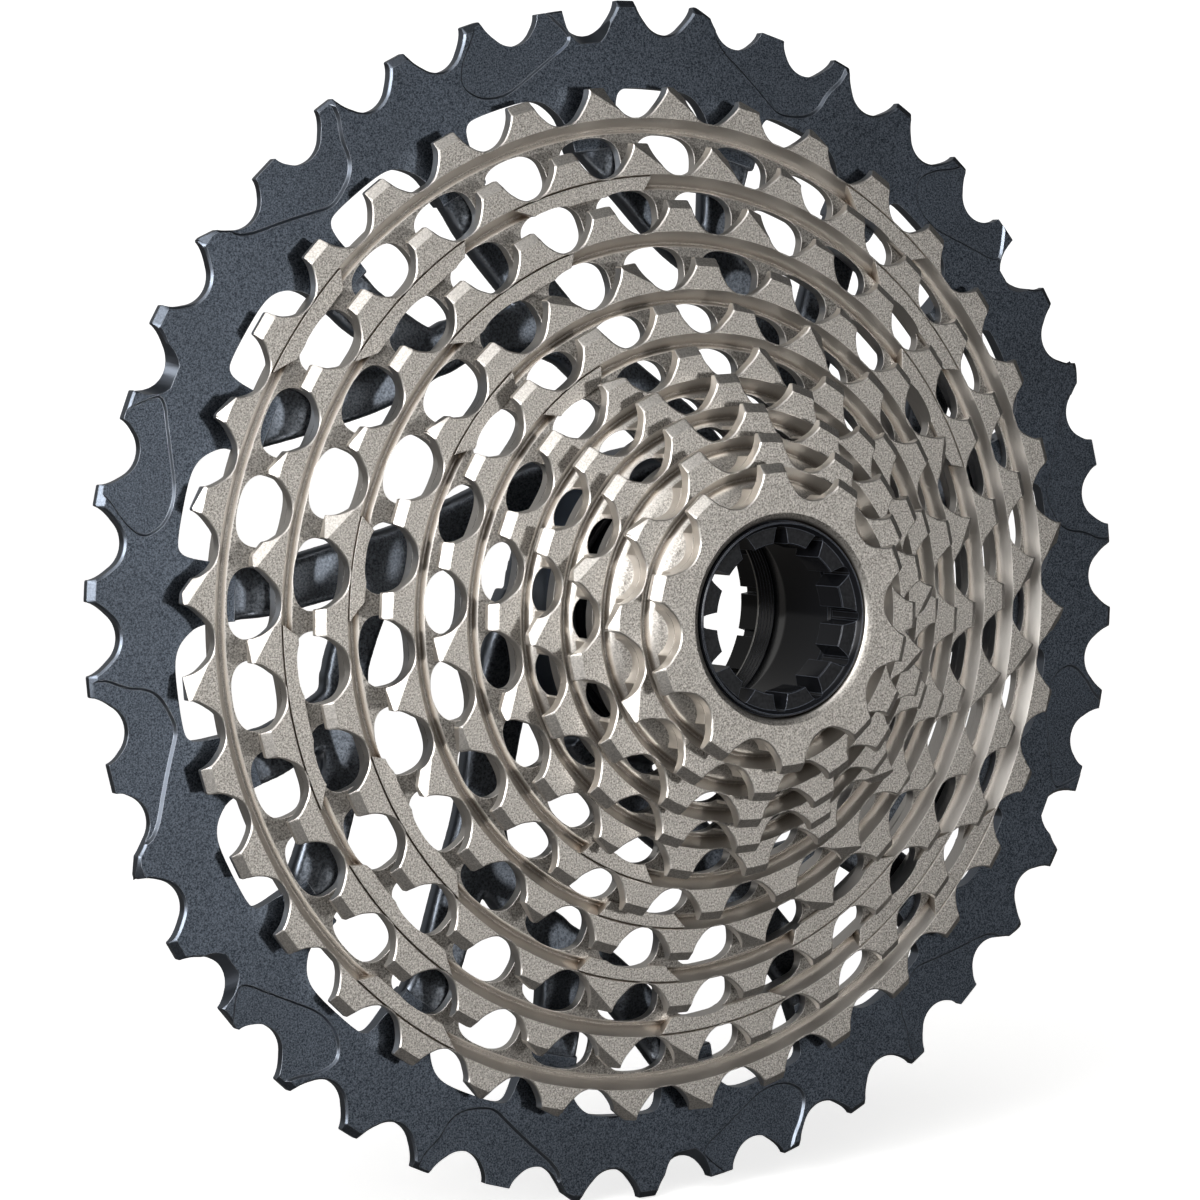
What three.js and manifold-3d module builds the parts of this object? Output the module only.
// Eleven-speed bicycle cassette, 10 to 42 teeth, for a quick-drive freehub body.
// The spin axis is Y. The small end looks along -Y (front), the spoke side along +Y (back),
// and +Z is up. The origin is on the spin axis, half way along the cassette. Units are
// millimetres and degrees.
//
// Ten steel sprockets nest into a stepped dome. All but the smallest have a toothed band, a
// circular relief groove, a step wall and a thin cone-shaped web. Down to 16 teeth, the web has
// one window for every tooth gap of the next smaller sprocket. The largest sprocket is an
// aluminium plate with a spoked carrier and a splined hub. A threaded sleeve turns inside and
// clamps the cassette to the freehub body.
//
// Pieces are modelled with y = 0 at the largest sprocket's front face; the meshes are then moved
// to centre the cassette. A "drop" is a distance inward from a sprocket's pitch circle.

import * as THREE from 'three';
import { mergeVertices } from 'three/addons/utils/BufferGeometryUtils.js';
import Module from 'manifold-3d';

const wasm = await Module();
wasm.setup();

// ---------------------------------------------------------------- teeth and spacing
const CHAIN_PITCH = 12.7;          // half-inch roller chain
const SEAT_RADIUS = 3.99;          // roller seat at the root of each gap
const SEAT_ANGLES = [-66, -24, 24, 66];  // corners of the seat, about the roller's centre
const TIP_RISE = 0.5;              // tooth tip above the pitch circle
const TIP_HALF = 1.4;              // half width of the flat tooth tip
const AXIAL_STEP = 3.7395;         // sprocket to sprocket spacing
const TOOTH_THICK = 1.9;           // steel tooth band
const PLATE_THICK = 2.0;           // aluminium tooth plate

// teeth, and the angle of one tooth gap's centre, seen from the small end (0 is +X, 90 is +Z)
const RINGS = [
  { teeth: 42, phase: 1.3 },
  { teeth: 36, phase: 2.0 },
  { teeth: 32, phase: 9.12 },
  { teeth: 28, phase: 6.5 },
  { teeth: 24, phase: 5.0 },
  { teeth: 21, phase: 5.15 },
  { teeth: 18, phase: 9.05 },
  { teeth: 16, phase: 14.3 },
  { teeth: 14, phase: 24.9 },
  { teeth: 12, phase: 14.0 },
  { teeth: 10, phase: 4.5 },
];
const LAST = RINGS.length - 1;
const Y_MID = (PLATE_THICK - AXIAL_STEP * LAST) / 2;  // half way along the cassette

// ---------------------------------------------------------------- steel dome
const GROOVE_DROP = 4.9;           // relief groove wall
const STEP_DROP = 4.3;             // outside of the step wall
const WEB_INNER_DROP = 5.5;        // inner edge of the web, from the next pitch circle
const JOINT_AHEAD = 0.44;          // joint plane, in front of the larger sprocket's front face
const SEAM = 0.1;                  // clearance at the joint
// depths behind a sprocket's front face
const GROOVE_DEPTH = 2.2;          // front of the web at the groove
const WALL_FRONT = 1.2;            // step wall, overlapping the tooth band
const WALL_BACK = 3.3;
const WEB_INNER_BACK = 0.85;       // back of the web at its inner edge
const COLLAR_FRONT = 1.0;          // collar of the smallest sprocket
const COLLAR_SEGMENTS = 30;
const NOSE_CLEARANCE = 0.25;       // smallest sprocket around the sleeve's nose

// windows, named after the teeth of the next smaller sprocket
const WINDOW_MIN_TEETH = 14;       // below this the web is solid
const WIDE_WINDOW_OVER = 20;       // above this the windows are wide
const WIDE_WINDOW_HALF = 0.36;     // half width, as a share of the window spacing
const NARROW_WINDOW_HALF = 0.33;
const WINDOW_INNER_GAP = 0.05;     // window outside the next step wall
const WINDOW_PITCH_GAP = 1.5;      // circle where the spacing is taken, outside that wall
const WINDOW_OUTER_DROP = 6.3;
const WINDOW_CUT = [-2, 5];        // front and back of the cut, from the front face

// solid pads in the largest steel sprocket's groove
const PAD_ANGLES = [54, 143.5, 234, 324];
const PAD_DEPTH = 2.6;
const PAD_INNER_DROP = 6.4;
const PAD_OUTER_DROP = GROOVE_DROP - 0.3;
// drop, degrees from the pad's angle
const PAD_OUTLINE = [
  [PAD_INNER_DROP, -6], [PAD_OUTER_DROP, -7], [PAD_OUTER_DROP, 0],
  [PAD_OUTER_DROP, 7], [PAD_INNER_DROP, 5.5], [PAD_INNER_DROP, 0],
];

// ---------------------------------------------------------------- carrier and hub
const RIM_INNER = 73.0;            // inside of the aluminium tooth plate
const HUB_OUTER = 21.0;
const HUB_SEGMENTS = 36;
const HUB_FROM = 0.4;              // angle of one facet edge
const HUB_BACK = 0.2;
const HUB_SHOULDER = -6.8;         // front end of the splined bore
const CUP_FRONT = -11.2;           // wider bore in front of the splines
const CUP_RADIUS = 18.0;
const SPLINE_LAND = 17.4;          // lands that sit in the freehub body's grooves
const SPLINE_FLOOR = 18.7;
const SPLINE_CUT_INNER = 16.5;
const SPLINE_COUNT = 18;
const SPLINE_FROM = 5.4;           // centre of one spline groove
const SPLINE_HALF = 1.8;           // half width of a groove, in degrees
const SPLINE_STOP = 0.8;           // front end of the grooves, behind the shoulder
const BORE_CUT_BACK = 3;           // bore cuts run out past the back of the plate

// arms of the carrier, as centre lines: radius, degrees, half width
const ARM_SETS = 6;
const INNER_ARMS = {
  front: -1.7,
  back: 1.3,
  paths: [
    [[19.6, 116, 5.2], [30, 154, 4.2], [40, 167.5, 4.0], [60, 176, 3.6]],  // spoke
    [[39, 167, 3.2], [47.5, 187, 3.3], [60, 196.8, 3.5]],                  // branch
    [[49, 190, 3.0], [60, 212, 3.5]],                                      // twig
  ],
};
const OUTER_ARMS = {
  front: 0.1,
  back: PLATE_THICK,
  paths: [
    [[58, 175.8, 3.6], [74.5, 177, 5.0]],
    [[58, 196.7, 3.6], [74.5, 197, 5.0]],
    [[58, 210.7, 3.6], [74.5, 217, 5.0]],
  ],
};

// pins that lock the steel dome to the aluminium carrier
const PIN_RADIUS = 1.1;
const PIN_HOLE_RADIUS = PIN_RADIUS + 0.08;
const PIN_SIDES = 10;
const PIN_LENGTH = 3.7;
const PIN_INSET = 0.1;             // pin end, in front of the plate's back face
const PIN_CIRCLE = 67.35;
const PIN_ANGLES = [57, 138.5, 237, 318.5];
const DOME_HOLE_LENGTH = 3.0;
const DOME_HOLE_MID = WALL_BACK - 1.0;  // behind the dome's largest front face
const CARRIER_HOLE_LENGTH = 12;

// ---------------------------------------------------------------- lock sleeve
const SLEEVE_SEGMENTS = 24;
const SLEEVE_FROM = 7.5;           // angle of one facet edge
const SLEEVE_NOSE = 13.8;          // outside of the nose
const THREAD_ROOT = 15.6;
const THREAD_CREST = 15.05;
const THREAD_PITCH = 1.8;
const THREAD_RIDGES = [0, 1].flatMap((i) => [
  [THREAD_ROOT, -9.5 - i * THREAD_PITCH], [THREAD_CREST, -10.4 - i * THREAD_PITCH],
]);
// radius, y: the outside from front to back, then the inside from back to front
const SLEEVE_SECTION = [
  [12.8, -37.2], [13.2, -37.2], [13.2, -36.1], [SLEEVE_NOSE, -36.0],  // nose rim
  [SLEEVE_NOSE, -31.0], [15.2, -31.0],                                // shoulder
  [15.2, -20], [16.8, -18.5], [16.8, -8.2],                           // flare and tail
  [THREAD_ROOT, -8.2], ...THREAD_RIDGES,
  [13.0, -18.0], [13.0, -30.4],                                       // plain bore
  [10.2, -30.8], [10.2, -36.4], [12.6, -36.4],                        // land with tool notches
];
const TOOL_NOTCHES = 12;
const NOTCH_INNER = { radius: 9.6, half: 7.2 };   // half widths in degrees
const NOTCH_OUTER = { radius: 12.5, half: 3.4 };
const NOTCH_CUT = [-38, -30];      // front and back of the cut

// plain rings around the sleeve
const SLEEVE_RINGS = [
  { name: 'front_thrust_washer', inner: 13.95, outer: 14.9, front: -31.9, back: -31.3, mat: 'zinc' },
  { name: 'front_bush', inner: 13.95, outer: 14.85, front: -33.9, back: -32.2, mat: 'polymer' },
  { name: 'rear_bush', inner: 17.0, outer: 17.8, front: -11.0, back: -8.4, mat: 'polymer' },
  { name: 'rear_thrust_washer', inner: 15.7, outer: 17.8, front: -7.3, back: -6.9, mat: 'zinc' },
];

const MATERIALS = {
  steel: { color: 0x8c857c, roughness: 0.45, metalness: 1.0 },
  alloy: { color: 0x343c46, roughness: 0.5, metalness: 0.9 },
  black: { color: 0x0c0e10, roughness: 0.3, metalness: 0.7 },
  polymer: { color: 0x22242a, roughness: 0.6, metalness: 0.0 },
  zinc: { color: 0xb9b6ae, roughness: 0.35, metalness: 1.0 },
};

// ---------------------------------------------------------------- solids and meshes
const WELD = 1e-4;  // vertices closer than this are merged

function toSolid(source) {
  let geometry = source.index ? source.toNonIndexed() : source.clone();
  for (const name of Object.keys(geometry.attributes)) {
    if (name !== 'position') geometry.deleteAttribute(name);
  }
  geometry = mergeVertices(geometry, WELD);
  const positions = geometry.attributes.position.array;
  const corner = (i) => new THREE.Vector3().fromArray(positions, i * 3);
  const triangles = [];
  let volume = 0;
  for (let i = 0; i < geometry.index.count; i += 3) {
    const [a, b, c] = [0, 1, 2].map((j) => geometry.index.getX(i + j));
    if (a === b || b === c || a === c) continue;
    triangles.push([a, b, c]);
    volume += corner(a).dot(corner(b).cross(corner(c)));
  }
  // an inside-out surface is turned the right way
  if (volume < 0) triangles.forEach((triangle) => triangle.reverse());
  return new wasm.Manifold(new wasm.Mesh({
    numProp: 3,
    vertProperties: new Float32Array(positions),
    triVerts: new Uint32Array(triangles.flat()),
  }));
}

function toGeometry(solid) {
  const { vertProperties, triVerts } = solid.getMesh();
  const geometry = new THREE.BufferGeometry();
  geometry.setAttribute('position', new THREE.BufferAttribute(new Float32Array(vertProperties), 3));
  geometry.setIndex(new THREE.BufferAttribute(new Uint32Array(triVerts), 1));
  geometry.computeVertexNormals();
  return geometry;
}

const group = new THREE.Group();
function addPiece(name, solid, material) {
  const mesh = new THREE.Mesh(
    toGeometry(solid),
    new THREE.MeshStandardMaterial(MATERIALS[material]),
  );
  mesh.name = name;
  mesh.position.set(0, -Y_MID, 0);
  group.add(mesh);
}

// ---------------------------------------------------------------- shapes
const { degToRad, radToDeg } = THREE.MathUtils;
const polar = (radius, angle) => new THREE.Vector2(
  radius * Math.cos(degToRad(angle)),
  radius * Math.sin(degToRad(angle)),
);
const arcAngle = (length, radius) => radToDeg(length / radius);
const pitchRadius = (teeth) => CHAIN_PITCH / 2 / Math.sin(Math.PI / teeth);
const circle = (radius, count, from) => (
  Array.from({ length: count }, (_, i) => polar(radius, from + 360 * i / count))
);

// a flat outline in the X-Z plane, given depth from front to back along Y
function slab(outline, front, back, holes = []) {
  const shape = new THREE.Shape(outline);
  shape.holes = holes.map((hole) => new THREE.Path(hole));
  const geometry = new THREE.ExtrudeGeometry(shape, {
    depth: back - front,
    bevelEnabled: false,
    curveSegments: 1,
  });
  geometry.rotateX(Math.PI / 2);
  geometry.translate(0, back, 0);
  return toSolid(geometry);
}

// a [radius, y] section, closed and turned about the spin axis, with a facet edge at `from`
function turned(section, segments, from = 0) {
  const points = [...section, section[0]].map(([radius, y]) => new THREE.Vector2(radius, y));
  return toSolid(new THREE.LatheGeometry(points, segments, degToRad(90 - from), Math.PI * 2));
}

const ringSection = (inner, outer, front, back) => (
  [[inner, front], [outer, front], [outer, back], [inner, back]]
);

// a four-sided outline between two radii, with a half width in degrees at each
const keystone = (inner, innerHalf, outer, outerHalf, mid) => [
  polar(inner, mid - innerHalf), polar(inner, mid + innerHalf),
  polar(outer, mid + outerHalf), polar(outer, mid - outerHalf),
];

// a round rod along Y at one of the pin places
function pinRod(radius, length, yMid, angle) {
  const centre = polar(PIN_CIRCLE, angle);
  const rod = new THREE.CylinderGeometry(radius, radius, length, PIN_SIDES);
  rod.translate(centre.x, yMid, centre.y);
  return toSolid(rod);
}

function toothOutline({ teeth, phase }) {
  const pitch = pitchRadius(teeth);
  const tip = pitch + TIP_RISE;
  const step = 360 / teeth;
  const tipHalf = arcAngle(TIP_HALF, tip);
  const points = [];
  for (let i = 0; i < teeth; i++) {
    const gap = phase + i * step;
    for (const angle of SEAT_ANGLES) {
      const out = pitch - SEAT_RADIUS * Math.cos(degToRad(angle));
      const across = SEAT_RADIUS * Math.sin(degToRad(angle));
      points.push(polar(Math.hypot(out, across), gap + radToDeg(Math.atan2(across, out))));
    }
    points.push(polar(tip, gap + step / 2 - tipHalf), polar(tip, gap + step / 2 + tipHalf));
  }
  return points;
}

// ---------------------------------------------------------------- steel sprockets
function windowCuts(pitch, next, face) {
  const wall = pitchRadius(next.teeth) - STEP_DROP;
  const spacing = 2 * Math.PI * (wall + WINDOW_PITCH_GAP) / next.teeth;
  const half = spacing * (next.teeth > WIDE_WINDOW_OVER ? WIDE_WINDOW_HALF : NARROW_WINDOW_HALF);
  const inner = wall + WINDOW_INNER_GAP;
  const outer = pitch - WINDOW_OUTER_DROP;
  return Array.from({ length: next.teeth }, (_, i) => {
    const mid = next.phase + i * 360 / next.teeth;
    const outline = keystone(inner, arcAngle(half, inner), outer, arcAngle(half, outer), mid);
    return slab(outline, face + WINDOW_CUT[0], face + WINDOW_CUT[1]);
  }).reduce((all, cut) => all.add(cut));
}

function addPadsAndPinHoles(sprocket, pitch, face) {
  let body = sprocket;
  for (const angle of PAD_ANGLES) {
    const outline = PAD_OUTLINE.map(([drop, offset]) => polar(pitch - drop, angle + offset));
    body = body.add(slab(outline, face, face + PAD_DEPTH));
  }
  for (const angle of PIN_ANGLES) {
    body = body.subtract(
      pinRod(PIN_HOLE_RADIUS, DOME_HOLE_LENGTH, face + DOME_HOLE_MID, angle),
    );
  }
  return body;
}

function domeSprocket(k) {
  const next = RINGS[k + 1];
  const pitch = pitchRadius(RINGS[k].teeth);
  const nextPitch = pitchRadius(next.teeth);
  const face = -AXIAL_STEP * k;
  const groove = pitch - GROOVE_DROP;
  const webInner = nextPitch - WEB_INNER_DROP;
  const webFront = face - JOINT_AHEAD + SEAM;
  // facet edges run along the struts of the web, so each window lies inside one facet
  const segments = next.teeth >= 18 ? next.teeth : next.teeth * 2;
  const from = next.phase + 180 / next.teeth;

  let body = slab(toothOutline(RINGS[k]), face, face + TOOTH_THICK, [
    circle(groove, segments, from),
  ]);
  body = body.add(turned([
    [pitch - STEP_DROP, face + WALL_FRONT], [pitch - STEP_DROP, face + WALL_BACK],
    [webInner, face + WEB_INNER_BACK], [webInner, webFront],
    [nextPitch - STEP_DROP, webFront],
    [groove, face + GROOVE_DEPTH], [groove, face + WALL_FRONT],
  ], segments, from));
  if (k === 1) body = addPadsAndPinHoles(body, pitch, face);
  if (next.teeth >= WINDOW_MIN_TEETH) body = body.subtract(windowCuts(pitch, next, face));
  return body;
}

// a thick collar carries the smallest sprocket on the next one
function smallestSprocket() {
  const ring = RINGS[LAST];
  const face = -AXIAL_STEP * LAST;
  const bore = SLEEVE_NOSE + NOSE_CLEARANCE;
  const band = slab(toothOutline(ring), face, face + TOOTH_THICK, [
    circle(bore, COLLAR_SEGMENTS, 0),
  ]);
  return band.add(turned(ringSection(
    bore, pitchRadius(ring.teeth) - STEP_DROP,
    face + COLLAR_FRONT, face + AXIAL_STEP - JOINT_AHEAD,
  ), COLLAR_SEGMENTS));
}

// ---------------------------------------------------------------- aluminium sprocket
// a band along a [radius, degrees, half width] path, turned by an angle
function armOutline(path, turn) {
  const centres = path.map(([radius, angle]) => polar(radius, angle + turn));
  const edge = (side) => centres.map((point, i) => {
    const before = centres[Math.max(0, i - 1)];
    const after = centres[Math.min(centres.length - 1, i + 1)];
    const along = after.clone().sub(before).normalize();
    const reach = side * path[i][2];
    return new THREE.Vector2(point.x - along.y * reach, point.y + along.x * reach);
  });
  return edge(1).concat(edge(-1).reverse());
}

function largestSprocket() {
  let body = slab(toothOutline(RINGS[0]), 0, PLATE_THICK, [circle(RIM_INNER, 36, 2)]);
  for (let i = 0; i < ARM_SETS; i++) {
    for (const { front, back, paths } of [INNER_ARMS, OUTER_ARMS]) {
      for (const path of paths) {
        body = body.add(slab(armOutline(path, i * 360 / ARM_SETS), front, back));
      }
    }
  }
  body = body.add(turned([
    [SPLINE_LAND, HUB_SHOULDER], [SPLINE_LAND, HUB_BACK], [HUB_OUTER, HUB_BACK],
    [HUB_OUTER, CUP_FRONT], [CUP_RADIUS, CUP_FRONT], [CUP_RADIUS, HUB_SHOULDER],
  ], HUB_SEGMENTS, HUB_FROM));
  // clear the bore of anything the arms leave in it
  const bore = circle(SPLINE_LAND, HUB_SEGMENTS, HUB_FROM);
  body = body.subtract(slab(bore, HUB_SHOULDER, BORE_CUT_BACK));
  for (let i = 0; i < SPLINE_COUNT; i++) {
    const mid = SPLINE_FROM + i * 360 / SPLINE_COUNT;
    const outline = keystone(SPLINE_CUT_INNER, SPLINE_HALF, SPLINE_FLOOR, SPLINE_HALF, mid);
    body = body.subtract(slab(outline, HUB_SHOULDER + SPLINE_STOP, BORE_CUT_BACK));
  }
  for (const angle of PIN_ANGLES) {
    body = body.subtract(pinRod(PIN_HOLE_RADIUS, CARRIER_HOLE_LENGTH, 0, angle));
  }
  return body;
}

// ---------------------------------------------------------------- lock sleeve
function lockSleeve() {
  let body = turned(SLEEVE_SECTION, SLEEVE_SEGMENTS, SLEEVE_FROM);
  for (let i = 0; i < TOOL_NOTCHES; i++) {
    const outline = keystone(
      NOTCH_INNER.radius, NOTCH_INNER.half,
      NOTCH_OUTER.radius, NOTCH_OUTER.half, i * 360 / TOOL_NOTCHES,
    );
    body = body.subtract(slab(outline, ...NOTCH_CUT));
  }
  return body;
}

// ---------------------------------------------------------------- assembly
for (let k = 1; k < LAST; k++) addPiece(`sprocket_${RINGS[k].teeth}t`, domeSprocket(k), 'steel');
addPiece('sprocket_10t', smallestSprocket(), 'steel');
addPiece('sprocket_42t', largestSprocket(), 'alloy');
PIN_ANGLES.forEach((angle, i) => {
  const yMid = PLATE_THICK - PIN_INSET - PIN_LENGTH / 2;
  addPiece(`dome_pin_${i + 1}`, pinRod(PIN_RADIUS, PIN_LENGTH, yMid, angle), 'zinc');
});
addPiece('lock_sleeve', lockSleeve(), 'black');
for (const { name, inner, outer, front, back, mat } of SLEEVE_RINGS) {
  addPiece(name, turned(ringSection(inner, outer, front, back), SLEEVE_SEGMENTS), mat);
}

export default group;
